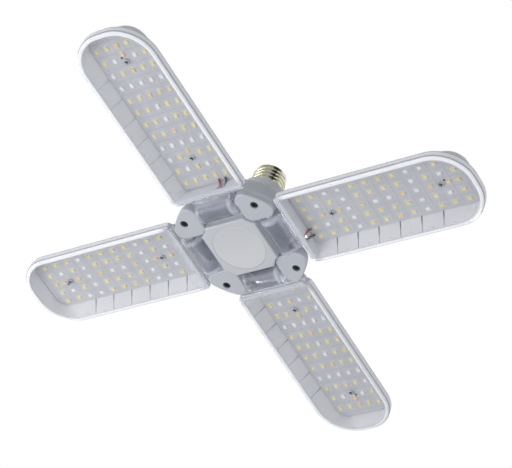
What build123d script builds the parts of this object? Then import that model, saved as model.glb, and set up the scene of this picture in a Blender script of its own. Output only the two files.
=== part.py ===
from build123d import *
from math import sqrt
import os

# Folding four-blade LED grow bulb, in millimetres.
# The origin is on the lamp's axis, in the middle of the plain band at the foot of the screw shell.
# +Z runs up to the shell's centre contact. The lights face down, and the blades lie along X and Y.

# Screw shell, centre contact and the collar that the shell stands on
SHELL_R = 13.1
SHELL_SHEET = 0.6
SHELL_H = 23.5
BAND_H = 3.0
THREAD_PITCH = 3.62
THREAD_ROUND_R = 1.05
THREAD_H = 14.6
THREAD_DEEP = 0.8
CROWN_H = 3.0
CROWN_RIM = 1.3
INSULATOR_FLANGE = 2.0
CONTACT_R = 4.8
CONTACT_H = 4.0
CONTACT_RISE = 2.0
CONTACT_ROUND = 1.2
CONTACT_STEM_R = 2.4
CONTACT_STEM_L = 4.0
SPIGOT_H = 11.0
SPIGOT_WALL = 2.6
COLLAR_STEP = 4.2
COLLAR_H = 6.0

# Hinges
HINGE_Z = -56.0
FOLD_ROOM = 2.5
BARREL_R = 8.4
BARREL_L = 32.0
BARREL_ROUND = 2.5
BARREL_GAP = 0.6
BARREL_END_PLAY = 1.4
TRUNNION_R = 2.8
TRUNNION_L = 5.0
TRUNNION_BORE_R = 1.8
BEARING_L = 4.6
BEARING_WALL = 2.0
STOP_IN = 3.0
STOP_L = 6.0
STOP_W = 19.2
STOP_GAP = 0.3

# Housing of the hub, with its steps inwards from the rim
HUB_RIM = 15.9
HUB_WALL = 2.2
LOWER_WALL_LEAN = 3.9
STEP_RISE = 7.1
STEP_IN = 0.6
SHOULDER_IN = 12.9
SHOULDER_RISE = 27.0
SHOULDER_ROUND = 6.0
EAR_DEPTH = 4.1
EAR_ROUND = 1.2
EAR_CORNER_R = 7.0
EAR_FLOOR = 1.8
RELIEF_RISE = 5.0
PLATE_GAP = 1.6
PLATE_DEPTH = 6.0
SCOOP_IN = 0.7
PLATE_ROUND = 1.2
DISC_R = 20.0
DISC_RECESS = 0.6
DISC_SHEET = 0.5
BOSS_FROM_RIM = 6.55
BOSS_R = 3.4
BOSS_H = 12.0

# Clear cover of a blade
COVER_W = 63.0
COVER_TIP = 194.5
COVER_TIP_FLAT = 7.0
COVER_HUB_R = 5.5
COVER_WALL = 1.6
COVER_BEVEL = 1.5
COVER_DEPTH = 6.0
COVER_END_GAP = 2.2
FACE_DROP = 2.9
NECK_RAISE = 1.5

# White tray of a blade
TRAY_LIP_W = 1.3
TRAY_LIP_H = 0.8
TRAY_LIP_BACK = 4.4
TRAY_FLOOR = 1.6
TRAY_SIDE_WALL = 2.2
TRAY_END_WALL = 3.0
TRAY_END_R = 1.5
TRAY_BACK_BEVEL = 2.0
TRAY_CORNER_FULL = 2.0
RIB_COUNT = 6
FIRST_RIB_IN = 16.9
LAST_RIB_IN = 32.8
GROOVE_W = 0.8
GROOVE_DEEP = 0.6
PIN_MARK_R = 0.55
PIN_MARK_DEEP = 0.4
PIN_MARK_IN = 1.2
BACK_RIB_H = 2.0
BACK_RIB_W = 1.2
BACK_RIB_IN = 2.0
LONG_RIB_PLACE = 14.0
SCREW_BOSS_R = 3.0
SCREW_BOSS_H = 3.0

# LED board
BOARD_SHEET = 1.0
BOARD_BELOW_FACE = 12.0
BOARD_SIDE_IN = 9.8
BOARD_TIP_IN = 8.2
BOARD_TIP_R = 9.0
BOARD_HUB_R = 0.8
BOARD_GAP = 0.2
BOARD_TIP_GAP = 0.7
BOARD_END_GAP = 0.4
FIRST_ROW_IN = 6.4
LAST_ROW_IN = 9.3
COLUMN_IN = 4.5
LED_L = 3.5
LED_W = 2.8
LED_H = 0.7
LED_WINDOW_R = 1.15
LED_WINDOW_DEEP = 0.15
LED_SHIFT = 3.3
BOARD_SCREW_BACK = 2.9
SCREW_ROWS = (3, 11)

# Each row of lights from the hub out: w warm, c clear white, r red
LED_PATTERN = (
    "wwwww",
    "wcrcw",
    "cwrww",
    "ccccc",
    "wwrww",
    "wwcww",
    "wwcww",
    "wwrww",
    "ccccc",
    "cwrww",
    "wcrcw",
    "wwrww",
)

# Screws
HUB_SCREW_R = 1.5
HUB_SCREW_L = 9.0
HUB_HEAD_R = 2.8
HUB_HEAD_H = 1.8
HUB_HEAD_POCKET = 2.4
BOARD_SCREW_R = 1.2
BOARD_SCREW_L = 4.2
BOARD_HEAD_R = 2.2
BOARD_HEAD_H = 1.4
PILOT_SPARE = 0.4
CROSS_L = 0.58
CROSS_W = 0.2
CROSS_DEEP = 0.6
HEAD_ROUND = 0.45

# Leads, and the soft sleeves round them on the hinge axes
LEAD_R = 0.7
LEAD_APART = 1.5
LEAD_BEND = 2.5
LEAD_END_GAP = 0.2
SLEEVE_R = 2.1
SLEEVE_BORE_R = 1.6
SLEEVE_L = 2.5
SLEEVE_GAP = 0.4
LEAD_WINDOW_LOW = 7.8
LEAD_WINDOW_HIGH = 15.0
LEAD_WINDOW_IN = 1.5
LEAD_WINDOW_RISE = 0.5
LEAD_BELOW_BOARD = 5.4
RED_PAD_IN = 5.25
BLACK_PAD_IN = 7.95
MAINS_R = 0.9
MAINS_BEND = 3.0

# Driver board and its parts, each with its place on the board
DRIVER_IN = 4.0
DRIVER_SHEET = 1.6
PEG_R = 1.4
PEG_IN = 3.0
PEG_H = 2.8
INPUT_CAN_X = -13.0
INPUT_CAN_Y = -10.0
INPUT_CAN_R = 6.3
INPUT_CAN_H = 20.0
OUTPUT_CAN_X = 14.0
OUTPUT_CAN_Y = -12.0
OUTPUT_CAN_R = 5.0
OUTPUT_CAN_H = 16.0
CAN_ROUND = 0.6
CAN_GROOVE_RISE = 2.0
CAN_GROOVE_W = 0.8
CAN_GROOVE_DEEP = 0.5
TRANSFORMER_X = 2.0
TRANSFORMER_Y = 12.0
TRANSFORMER_RISE = 1.0
CORE_L = 19.0
CORE_D = 6.0
CORE_H = 15.0
CORE_LEG = 3.0
CORE_GAP = 0.2
WINDING_IN = 0.4
FLANGE_SHEET = 1.0
BOBBIN_LEG_R = 0.4
BOBBIN_LEG_X = 3.0
BOBBIN_LEG_Y = 4.5
CHOKE_X = -17.0
CHOKE_Y = 8.0
CHOKE_R = 4.0
CHOKE_H = 9.0
CHOKE_FLANGE_R = 4.6
FILM_X = 17.5
FILM_Y = 3.0
FILM_L = 12.0
FILM_W = 6.0
FILM_H = 11.0
FILM_ROUND = 1.0
RECTIFIER_Y = -7.0
RECTIFIER_L = 6.0
RECTIFIER_W = 5.0
RECTIFIER_H = 2.5
RECTIFIER_LEG_X = 2.0
CHIP_X = 0.5
CHIP_Y = -14.0
CHIP_L = 5.0
CHIP_W = 3.8
CHIP_H = 1.5
CHIP_LEG_STEP = 1.27
LEG_LIFT = 0.2
LEG_L = 0.8
LEG_W = 0.4
FUSE_X = -5.0
FUSE_Y = -0.6
FUSE_R = 1.8
FUSE_L = 9.0
FUSE_ROUND = 0.7
FUSE_WIRE_R = 0.35
FUSE_WIRE_OUT = 1.5
FUSE_WIRE_BEND = 0.8

# Clearances that several fits share
FIT_GAP = 0.1
RIM_GAP = 0.2
RUNNING_GAP = 0.05
SCREW_GAP = 0.05
HOLE_GAP = 0.2

BLADES = (("a", -90), ("b", 0), ("c", 90), ("d", 180))
QUARTERS = (0, 90, 180, 270)

# Radii and lengths that follow from the values above
ROOT_R = SHELL_R - THREAD_DEEP
SHELL_BORE_R = ROOT_R - SHELL_SHEET
CROWN_HOLE_R = ROOT_R - CROWN_H - CROWN_RIM
SPIGOT_R = SHELL_BORE_R - FIT_GAP
SPIGOT_BORE_R = SPIGOT_R - SPIGOT_WALL
COLLAR_R = SHELL_R + COLLAR_STEP
HINGE_R = COVER_W / 2 + FOLD_ROOM
SEAT_R = BARREL_R + BARREL_GAP
NOTCH_HALF = BARREL_L / 2 + BARREL_END_PLAY
BEARING_HALF = TRUNNION_R + BEARING_WALL
HUB_R = HINGE_R + HUB_RIM
STEP_R = HUB_R - LOWER_WALL_LEAN
SHOULDER_R = HUB_R - SHOULDER_IN
PLATE_SIDE = 2 * (HINGE_R - SEAT_R - PLATE_GAP)
PLATE_SCOOP_R = HINGE_R - NOTCH_HALF - SCOOP_IN
BOSS_PLACE = (HUB_R - BOSS_FROM_RIM) / sqrt(2)
DRIVER_R = HINGE_R - DRIVER_IN
PEG_PLACE = DRIVER_R - PEG_IN
EAR_CORNER_X = sqrt((HUB_R - EAR_CORNER_R) ** 2 - (NOTCH_HALF + EAR_CORNER_R) ** 2)
COVER_START = EAR_CORNER_X + EAR_CORNER_R + COVER_END_GAP
COVER_TIP_R = (COVER_W - COVER_TIP_FLAT) / 2
TRAY_START = COVER_START + COVER_WALL + FIT_GAP
TRAY_INSIDE_START = TRAY_START + TRAY_END_WALL
BOARD_START = TRAY_INSIDE_START + BOARD_END_GAP
BOARD_W = COVER_W - 2 * BOARD_SIDE_IN
BOARD_TIP = COVER_TIP - BOARD_TIP_IN
FIRST_ROW = BOARD_START + FIRST_ROW_IN
ROW_STEP = (BOARD_TIP - LAST_ROW_IN - FIRST_ROW) / (len(LED_PATTERN) - 1)
COLUMN_STEP = (BOARD_W / 2 - COLUMN_IN) / 2
FIRST_RIB = BOARD_START + FIRST_RIB_IN
RIB_STEP = (BOARD_TIP - LAST_RIB_IN - FIRST_RIB) / (RIB_COUNT - 1)

# Levels that follow from the values above
FOOT_Z = -BAND_H / 2
SHELL_TOP_Z = FOOT_Z + SHELL_H
CROWN_Z = SHELL_TOP_Z - CROWN_H
CROWN_UNDER_Z = SHELL_TOP_Z - 2 * SHELL_SHEET
STEM_END_Z = SHELL_TOP_Z - CONTACT_STEM_L
FACE_Z = HINGE_Z - FACE_DROP
SKIRT_BACK_Z = FACE_Z + COVER_DEPTH
COVER_INSIDE_Z = FACE_Z + COVER_WALL
BOARD_FACE_Z = FACE_Z + BOARD_BELOW_FACE
TRAY_FLOOR_Z = BOARD_FACE_Z + BOARD_SHEET
TRAY_BACK_Z = TRAY_FLOOR_Z + TRAY_FLOOR
RIM_Z = COVER_INSIDE_Z + RIM_GAP
SLOPE_END_Z = RIM_Z + TRAY_LIP_H
LIP_BACK_Z = SLOPE_END_Z + TRAY_LIP_BACK
EAR_FACE_Z = HINGE_Z - EAR_DEPTH
PLATE_FACE_Z = HINGE_Z - PLATE_DEPTH
RELIEF_Z = HINGE_Z + RELIEF_RISE
SEAT_TOP_Z = HINGE_Z + SEAT_R + HUB_WALL
DRIVER_TOP_Z = SEAT_TOP_Z + DRIVER_SHEET


def around(shape, angle):
    """Turn a shape about the lamp's axis."""
    return Rot(0, 0, angle) * shape


def four(shape):
    """Fuse four copies of a shape, a quarter turn apart."""
    return shape + [around(shape, angle) for angle in QUARTERS[1:]]


def prism(face, low, high):
    """Stand a flat face between two heights."""
    return extrude(Pos(0, 0, low) * face, amount=high - low)


def block(x, y, z):
    """Box given by its low and high limits in X, Y and Z."""
    size = [limit[1] - limit[0] for limit in (x, y, z)]
    centre = [(limit[1] + limit[0]) / 2 for limit in (x, y, z)]
    return Pos(*centre) * Box(*size)


def span(centre, length):
    """Low and high limits of a length about its middle."""
    return (centre - length / 2, centre + length / 2)


def post(x, y, low, high, radius):
    """Upright cylinder."""
    return Pos(x, y, (low + high) / 2) * Cylinder(radius, high - low)


def bar_y(x, z, low, high, radius):
    """Cylinder that lies along Y."""
    return Pos(x, (low + high) / 2, z) * Rot(90, 0, 0) * Cylinder(radius, high - low)


def turned_face(face):
    """Turn a half outline, drawn with radius along X and height along Y, about the lamp's axis."""
    return revolve(Rot(90, 0, 0) * face, Axis.Z)


def turned(points):
    """Turn a half outline of straight lines, given as radius and height, about the lamp's axis."""
    return turned_face(make_face(Polyline(*points, close=True)))


def tube(points, radius, bend):
    """Round wire along straight runs, with an arc of one bend radius at each corner."""
    path = FilletPolyline(*points, radius=[bend] * (len(points) - 2))
    section = Plane(origin=path @ 0, z_dir=path % 0) * Circle(radius)
    return sweep(section, path=path)


def blade_face(half, start, tip, tip_r, hub_r):
    """Outline of a blade layer: square towards the hub and round at the tip."""
    corners = Polyline((start, -half), (tip, -half), (tip, half), (start, half), close=True)
    face = make_face(corners)
    face = fillet(face.vertices().group_by(Axis.X)[-1], tip_r)
    return fillet(face.vertices().group_by(Axis.X)[0], hub_r)


# Screw shell: plain band at the foot, rolled thread and a crown drawn in at the top
def screw_shell():
    start_z = FOOT_Z + BAND_H
    body = turned(
        [
            (0, FOOT_Z),
            (SHELL_R, FOOT_Z),
            (SHELL_R, start_z),
            (ROOT_R, start_z + THREAD_DEEP),
            (ROOT_R, CROWN_Z),
            (ROOT_R - CROWN_H, SHELL_TOP_Z),
            (0, SHELL_TOP_Z),
        ]
    )
    helix = Pos(0, 0, start_z) * Helix(THREAD_PITCH, THREAD_H, SHELL_R - THREAD_ROUND_R - RUNNING_GAP)
    section = Plane(origin=helix @ 0, z_dir=helix % 0) * Circle(THREAD_ROUND_R)
    ridge = sweep(section, path=helix, is_frenet=True)
    bore = turned(
        [
            (0, FOOT_Z),
            (SHELL_BORE_R, FOOT_Z),
            (SHELL_BORE_R, CROWN_Z - SHELL_SHEET),
            (ROOT_R - CROWN_H, CROWN_UNDER_Z),
            (CROWN_HOLE_R, CROWN_UNDER_Z),
            (CROWN_HOLE_R, SHELL_TOP_Z),
            (0, SHELL_TOP_Z),
        ]
    )
    return body + ridge - bore


# Black glass insulator that fills the crown round the centre contact
def cap_insulator():
    flange_r = ROOT_R - CROWN_H - HOLE_GAP
    flange_z = CROWN_UNDER_Z - INSULATOR_FLANGE
    stem_r = CONTACT_STEM_R + FIT_GAP
    return turned(
        [
            (stem_r, flange_z),
            (flange_r, flange_z),
            (flange_r, CROWN_UNDER_Z - FIT_GAP),
            (CROWN_HOLE_R - FIT_GAP, CROWN_UNDER_Z - FIT_GAP),
            (CROWN_HOLE_R - FIT_GAP, SHELL_TOP_Z),
            (CONTACT_R, SHELL_TOP_Z + CONTACT_RISE),
            (stem_r, SHELL_TOP_Z + CONTACT_RISE),
        ]
    )


# Centre contact: a riveted brass button with its stem through the insulator
def centre_contact():
    seat_z = SHELL_TOP_Z + CONTACT_RISE + FIT_GAP
    button = post(0, 0, seat_z, SHELL_TOP_Z + CONTACT_H, CONTACT_R)
    button = fillet(button.edges().group_by(Axis.Z)[-1], CONTACT_ROUND)
    return button + post(0, 0, STEM_END_Z, seat_z, CONTACT_STEM_R)


def housing_solid(inset):
    """The bell-shaped housing as a solid, set in from its outside by a wall."""
    step_z = HINGE_Z + STEP_RISE
    shoulder = (SHOULDER_R - inset, HINGE_Z + SHOULDER_RISE)
    outline = Polyline(
        (0, HINGE_Z),
        (HUB_R - inset, HINGE_Z),
        (STEP_R - inset, step_z),
        (STEP_R - STEP_IN - inset, step_z),
        shoulder,
        (COLLAR_R - inset, FOOT_Z - COLLAR_H),
        (COLLAR_R - inset, FOOT_Z - inset),
        (0, FOOT_Z - inset),
        close=True,
    )
    face = make_face(outline)
    corner = face.vertices().sort_by_distance((*shoulder, 0))[0]
    return turned_face(fillet(corner, SHOULDER_ROUND))


def hinge_space(top):
    """Space of one hinge on +X: round the barrel, and open outwards and down."""
    barrel = bar_y(HINGE_R, HINGE_Z, -NOTCH_HALF, NOTCH_HALF, SEAT_R)
    outwards = (HINGE_R, HINGE_R + 2 * HUB_RIM)
    low = HINGE_Z - 2 * SEAT_R
    return barrel + block(outwards, (-NOTCH_HALF, NOTCH_HALF), (low, HINGE_Z + top))


def trunnion_bores():
    """Bearing bores of one hinge on +X."""
    outer = NOTCH_HALF + BEARING_L
    bore_r = TRUNNION_R + RUNNING_GAP
    right = bar_y(HINGE_R, HINGE_Z, NOTCH_HALF - BARREL_END_PLAY, outer, bore_r)
    left = bar_y(HINGE_R, HINGE_Z, -outer, BARREL_END_PLAY - NOTCH_HALF, bore_r)
    return right + left


def bearing_blocks(low, high):
    """Blocks round the two bearing bores of one hinge on +X."""
    outer = NOTCH_HALF + BEARING_L
    x = span(HINGE_R, 2 * BEARING_HALF)
    return block(x, (NOTCH_HALF, outer), (low, high)) + block(x, (-outer, -NOTCH_HALF), (low, high))


def at_bosses(low, high, radius):
    """Four posts on the axes of the housing's screw bosses."""
    return four(post(BOSS_PLACE, BOSS_PLACE, low, high, radius))


def ear_outline(inset):
    """Outline of the ear between +X and +Y, set in from its outside by a wall."""
    low = NOTCH_HALF + inset
    face = Circle(HUB_R - inset) & Pos(low + HUB_R / 2, low + HUB_R / 2) * Rectangle(HUB_R, HUB_R)
    corners = [point for point in face.vertices() if Vector(*point).length > HUB_R - inset - 1]
    return fillet(corners, EAR_CORNER_R - inset)


# Upper housing: the white bell between the screw shell and the hinges, with four hinge seats inside.
# Its rim follows the rounded ears as far up as the blades' hub ends reach
def upper_housing():
    outside = housing_solid(0)
    shell = outside - housing_solid(HUB_WALL)
    wide = NOTCH_HALF + HUB_WALL
    inner = four(block((HINGE_R - SEAT_R - HUB_WALL, HUB_R), (-wide, wide), (HINGE_Z, SEAT_TOP_Z)))
    inner += four(bearing_blocks(HINGE_Z, HINGE_Z + BEARING_HALF))
    inner += at_bosses(HINGE_Z, HINGE_Z + BOSS_H, BOSS_R)
    ring = Circle(HUB_R) - Circle(HINGE_R)
    inner += prism(ring - four(ear_outline(HUB_WALL)), HINGE_Z, RELIEF_Z + HUB_WALL)
    shell += inner & outside
    shell -= prism(ring - four(ear_outline(0)), HINGE_Z, RELIEF_Z)
    for side in (-1, 1):
        shell += post(side * PEG_PLACE, 0, SEAT_TOP_Z, SEAT_TOP_Z + PEG_H, PEG_R)
    shell += post(0, 0, FOOT_Z - HUB_WALL, FOOT_Z + SPIGOT_H, SPIGOT_R)
    shell -= post(0, 0, FOOT_Z - COLLAR_H, FOOT_Z + SPIGOT_H, SPIGOT_BORE_R)
    shell -= four(hinge_space(SEAT_R) + trunnion_bores())
    pilot_top = EAR_FACE_Z + HUB_HEAD_POCKET + HUB_SCREW_L + PILOT_SPARE
    return shell - at_bosses(HINGE_Z, pilot_top, HUB_SCREW_R + SCREW_GAP)


def plate_face(inset):
    """Square centre plate with a round scoop about each screw, set in from its outside by a wall."""
    side = PLATE_SIDE - 2 * inset
    return Rectangle(side, side) - four(Pos(BOSS_PLACE, BOSS_PLACE) * Circle(PLATE_SCOOP_R + inset))


# Lower cover: centre plate and four ears, which clamp the hinges to the upper housing
def lower_cover():
    ear = ear_outline(0) & Pos(BOSS_PLACE, BOSS_PLACE) * Circle(PLATE_SCOOP_R)
    ears = prism(four(ear), EAR_FACE_Z, HINGE_Z)
    ears = fillet(ears.edges().group_by(Axis.Z)[0], EAR_ROUND)
    plate = prism(plate_face(0), PLATE_FACE_Z, HINGE_Z)
    plate = fillet(plate.edges().group_by(Axis.Z)[0], PLATE_ROUND)
    outside = ears + plate
    inside = PLATE_SIDE - 2 * HUB_WALL
    hollow = prism(plate_face(HUB_WALL), PLATE_FACE_Z + HUB_WALL + DISC_RECESS, HINGE_Z)
    above_floor = Rectangle(inside, inside) + four(ear_outline(HUB_WALL))
    hollow += prism(above_floor, EAR_FACE_Z + EAR_FLOOR, HINGE_Z)
    blocks = at_bosses(EAR_FACE_Z, HINGE_Z, HUB_HEAD_R + HOLE_GAP + 0.5 * HUB_WALL)
    blocks += four(bearing_blocks(EAR_FACE_Z, HINGE_Z))
    cover = outside - hollow + (blocks & outside)
    cover -= four(hinge_space(0) + trunnion_bores())
    cover -= at_bosses(EAR_FACE_Z, HINGE_Z, HUB_SCREW_R + HOLE_GAP)
    cover -= at_bosses(EAR_FACE_Z, EAR_FACE_Z + HUB_HEAD_POCKET, HUB_HEAD_R + HOLE_GAP)
    return cover - post(0, 0, PLATE_FACE_Z, PLATE_FACE_Z + DISC_RECESS, DISC_R)


# Bare label disc, laid in the round recess of the centre plate
def label_disc():
    top = PLATE_FACE_Z + DISC_RECESS
    return post(0, 0, top - DISC_SHEET, top, DISC_R - RIM_GAP)


def screw(shank_r, length, head_r, head_h):
    """Cross-head screw with its head under z = 0 and its shank up from there."""
    long = 2 * head_r * CROSS_L
    wide = 2 * head_r * CROSS_W
    deep = head_h * CROSS_DEEP
    head = post(0, 0, -head_h, 0, head_r)
    head = fillet(head.edges().group_by(Axis.Z)[0], head_h * HEAD_ROUND)
    head -= Pos(0, 0, -head_h) * (Box(long, wide, 2 * deep) + Box(wide, long, 2 * deep))
    shank = post(0, 0, 0, length, shank_r)
    return head + chamfer(shank.edges().group_by(Axis.Z)[-1], shank_r / 2)


# Four black screws that hold the lower cover to the bosses of the housing
def cover_screws():
    one = screw(HUB_SCREW_R, HUB_SCREW_L, HUB_HEAD_R, HUB_HEAD_H)
    placed = Pos(BOSS_PLACE, BOSS_PLACE, EAR_FACE_Z + HUB_HEAD_POCKET) * one
    return Compound([around(placed, angle) for angle in QUARTERS])


# Driver board: round, on top of the four hinge seats and over two pegs
def driver_board():
    board = post(0, 0, SEAT_TOP_Z, DRIVER_TOP_Z, DRIVER_R)
    for side in (-1, 1):
        board -= post(side * PEG_PLACE, 0, SEAT_TOP_Z, DRIVER_TOP_Z, PEG_R + FIT_GAP)
    return board


def can(x, y, radius, height):
    """Electrolytic capacitor with a rounded rim and a groove above its rubber foot."""
    body = post(x, y, DRIVER_TOP_Z, DRIVER_TOP_Z + height, radius)
    body = fillet(body.edges().group_by(Axis.Z)[-1], CAN_ROUND)
    low = DRIVER_TOP_Z + CAN_GROOVE_RISE
    groove = post(x, y, low, low + CAN_GROOVE_W, radius)
    return body - (groove - post(x, y, low, low + CAN_GROOVE_W, radius - CAN_GROOVE_DEEP))


def input_capacitor():
    return can(INPUT_CAN_X, INPUT_CAN_Y, INPUT_CAN_R, INPUT_CAN_H)


def output_capacitor():
    return can(OUTPUT_CAN_X, OUTPUT_CAN_Y, OUTPUT_CAN_R, OUTPUT_CAN_H)


# Ferrite frame of the transformer
def transformer_core():
    low = DRIVER_TOP_Z + TRANSFORMER_RISE
    y = span(TRANSFORMER_Y, CORE_D)
    core = block(span(TRANSFORMER_X, CORE_L), y, (low, low + CORE_H))
    window = block(span(TRANSFORMER_X, CORE_L - 2 * CORE_LEG), y, (low + CORE_LEG, low + CORE_H - CORE_LEG))
    return core - window


# Wound bobbin in the window of the transformer's frame, on four legs
def transformer_winding():
    low = DRIVER_TOP_Z + TRANSFORMER_RISE + CORE_LEG + CORE_GAP
    high = low + CORE_H - 2 * CORE_LEG - 2 * CORE_GAP
    radius = CORE_L / 2 - CORE_LEG - CORE_GAP
    coil = post(TRANSFORMER_X, TRANSFORMER_Y, low, high, radius - WINDING_IN)
    for flange in (low, high - FLANGE_SHEET):
        coil += post(TRANSFORMER_X, TRANSFORMER_Y, flange, flange + FLANGE_SHEET, radius)
    for x in span(TRANSFORMER_X, 2 * BOBBIN_LEG_X):
        for y in span(TRANSFORMER_Y, 2 * BOBBIN_LEG_Y):
            coil += post(x, y, DRIVER_TOP_Z, low, BOBBIN_LEG_R)
    return coil


# Filter choke: a drum wound between two flanges
def choke():
    coil = post(CHOKE_X, CHOKE_Y, DRIVER_TOP_Z, DRIVER_TOP_Z + CHOKE_H, CHOKE_R)
    for low in (DRIVER_TOP_Z, DRIVER_TOP_Z + CHOKE_H - FLANGE_SHEET):
        coil += post(CHOKE_X, CHOKE_Y, low, low + FLANGE_SHEET, CHOKE_FLANGE_R)
    return coil


def film_capacitor():
    body = block(span(FILM_X, FILM_W), span(FILM_Y, FILM_L), (DRIVER_TOP_Z, DRIVER_TOP_Z + FILM_H))
    return fillet(body.edges().filter_by(Axis.Z), FILM_ROUND)


def legged_chip(x, y, length, width, height, leg_places):
    """Flat package with short legs along its two long sides."""
    low = DRIVER_TOP_Z + LEG_LIFT
    chip = block(span(x, length), span(y, width), (low, low + height))
    for leg_x in leg_places:
        for leg_y in span(y, width):
            legs = (DRIVER_TOP_Z, low + height / 2)
            chip += block(span(x + leg_x, LEG_W), span(leg_y, 2 * LEG_L), legs)
    return chip


def bridge_rectifier():
    places = (-RECTIFIER_LEG_X, RECTIFIER_LEG_X)
    return legged_chip(0, RECTIFIER_Y, RECTIFIER_L, RECTIFIER_W, RECTIFIER_H, places)


def driver_chip():
    places = [(index - 1.5) * CHIP_LEG_STEP for index in range(4)]
    return legged_chip(CHIP_X, CHIP_Y, CHIP_L, CHIP_W, CHIP_H, places)


# Fuse resistor: a rounded bar that stands off the board on its bent wire
def fuse_resistor():
    z = DRIVER_TOP_Z + FUSE_R + LEG_LIFT
    body = Pos(FUSE_X, FUSE_Y, z) * Rot(0, 90, 0) * Cylinder(FUSE_R, FUSE_L)
    body = fillet(body.edges().filter_by(GeomType.CIRCLE), FUSE_ROUND)
    left, right = span(FUSE_X, FUSE_L + 2 * FUSE_WIRE_OUT)
    points = [
        (left, FUSE_Y, DRIVER_TOP_Z),
        (left, FUSE_Y, z),
        (right, FUSE_Y, z),
        (right, FUSE_Y, DRIVER_TOP_Z),
    ]
    return body + tube(points, FUSE_WIRE_R, FUSE_WIRE_BEND)


# Live wire: from the board up through the collar to the stem of the centre contact
def live_wire():
    points = [
        (0, -22, DRIVER_TOP_Z),
        (0, -22, DRIVER_TOP_Z + 13),
        (0, -4, FOOT_Z - 9),
        (0, -3, FOOT_Z + 8),
        (0, 0, STEM_END_Z - 5),
        (0, 0, STEM_END_Z),
    ]
    return tube(points, MAINS_R, MAINS_BEND)


# Neutral wire: from the board to the inside of the shell, above the spigot
def neutral_wire():
    solder_z = FOOT_Z + SPIGOT_H + 2.5
    points = [
        (5, -22, DRIVER_TOP_Z),
        (5, -22, DRIVER_TOP_Z + 13),
        (6, -3, FOOT_Z - 9),
        (6, 0, solder_z),
        (SHELL_BORE_R - HOLE_GAP, 0, solder_z),
    ]
    return tube(points, MAINS_R, MAINS_BEND)


# Leads on the hub's side of a hinge: from the sleeve on the axis, past the boss, to the driver board
def hub_leads(axis_offset, pad_in):
    z = HINGE_Z + axis_offset
    start = NOTCH_HALF + BEARING_L + LEAD_R + LEAD_END_GAP
    turn = start + LEAD_BEND + LEAD_R
    pad = (DRIVER_R - pad_in) / sqrt(2)
    points = [
        (HINGE_R, start, z),
        (HINGE_R, turn, z),
        (turn, turn - 1, z + 2.8),
        (pad, pad, z + 5.8),
        (pad, pad, SEAT_TOP_Z),
    ]
    one = tube(points, LEAD_R, LEAD_BEND)
    return Compound([around(one, angle) for _, angle in BLADES])


# Soft sleeves on the hinge axes, where the leads turn as a blade folds
def lead_sleeves():
    low = BARREL_L / 2 + TRUNNION_L + SLEEVE_GAP
    one = bar_y(HINGE_R, HINGE_Z, low, low + SLEEVE_L, SLEEVE_R)
    one -= bar_y(HINGE_R, HINGE_Z, low, low + SLEEVE_L, SLEEVE_BORE_R)
    return Compound([around(one, angle) for _, angle in BLADES])


def lead_window():
    """Way for the leads through the end walls of the cover and the tray."""
    z = (HINGE_Z + LEAD_WINDOW_RISE, BOARD_FACE_Z - LEAD_WINDOW_IN)
    return block((COVER_START - 1, BOARD_START), (LEAD_WINDOW_LOW, LEAD_WINDOW_HIGH), z)


# Clear cover of one blade: face, bevelled rim, neck and the hinge barrel with its two trunnions
def blade_cover():
    half = COVER_W / 2
    inside_z = FACE_Z + NECK_RAISE + COVER_WALL
    neck_half = BARREL_L / 2
    neck_top = HINGE_Z + BARREL_R
    outer = blade_face(half, COVER_START, COVER_TIP, COVER_TIP_R, COVER_HUB_R)
    inner = blade_face(
        half - COVER_WALL,
        COVER_START + COVER_WALL,
        COVER_TIP - COVER_WALL,
        COVER_TIP_R - COVER_WALL,
        COVER_HUB_R - COVER_WALL,
    )
    pane = prism(outer, FACE_Z, SKIRT_BACK_Z)
    pane = chamfer(pane.edges().group_by(Axis.Z)[0], COVER_BEVEL)
    barrel = bar_y(HINGE_R, HINGE_Z, -neck_half, neck_half, BARREL_R)
    neck_x = (HINGE_R, COVER_START + COVER_WALL)
    neck = block(neck_x, (-neck_half, neck_half), (FACE_Z + NECK_RAISE, neck_top))
    knuckle = fillet((barrel + neck).edges().filter_by(GeomType.CIRCLE), BARREL_ROUND)
    stop_x = (HINGE_R + STOP_IN, HINGE_R + STOP_IN + STOP_L)
    knuckle += block(stop_x, span(0, STOP_W), (inside_z, HINGE_Z + SEAT_R - STOP_GAP))
    end = neck_half + TRUNNION_L
    knuckle += bar_y(HINGE_R, HINGE_Z, -end, end, TRUNNION_R)
    cover = pane + knuckle - prism(inner, COVER_INSIDE_Z, SKIRT_BACK_Z)
    room = neck_half - COVER_WALL
    cover -= bar_y(HINGE_R, HINGE_Z, -room, room, BARREL_R - COVER_WALL)
    cover -= block((HINGE_R, COVER_START), (-room, room), (inside_z, neck_top - COVER_WALL))
    return cover - lead_window() - bar_y(HINGE_R, HINGE_Z, -end, end, TRUNNION_BORE_R)


def slope_share(z):
    """How far a height is along the tray's sloping wall: 0 at its floor and 1 at its lip."""
    return (TRAY_FLOOR_Z - z) / (TRAY_FLOOR_Z - SLOPE_END_Z)


def lip_inside(outer):
    """Size inside the tray's lip, from the same size on the outside of the cover."""
    return outer - COVER_WALL - FIT_GAP - TRAY_LIP_W


def sloped(floor_size, cover_size, z):
    """Size inside the tray at a height, between its floor and the inside of its lip."""
    return floor_size + (lip_inside(cover_size) - floor_size) * slope_share(z)


def tray_side(z):
    """Half width inside the tray at a height on its sloping side wall."""
    return sloped(BOARD_W / 2 + BOARD_GAP, COVER_W / 2, z)


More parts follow.
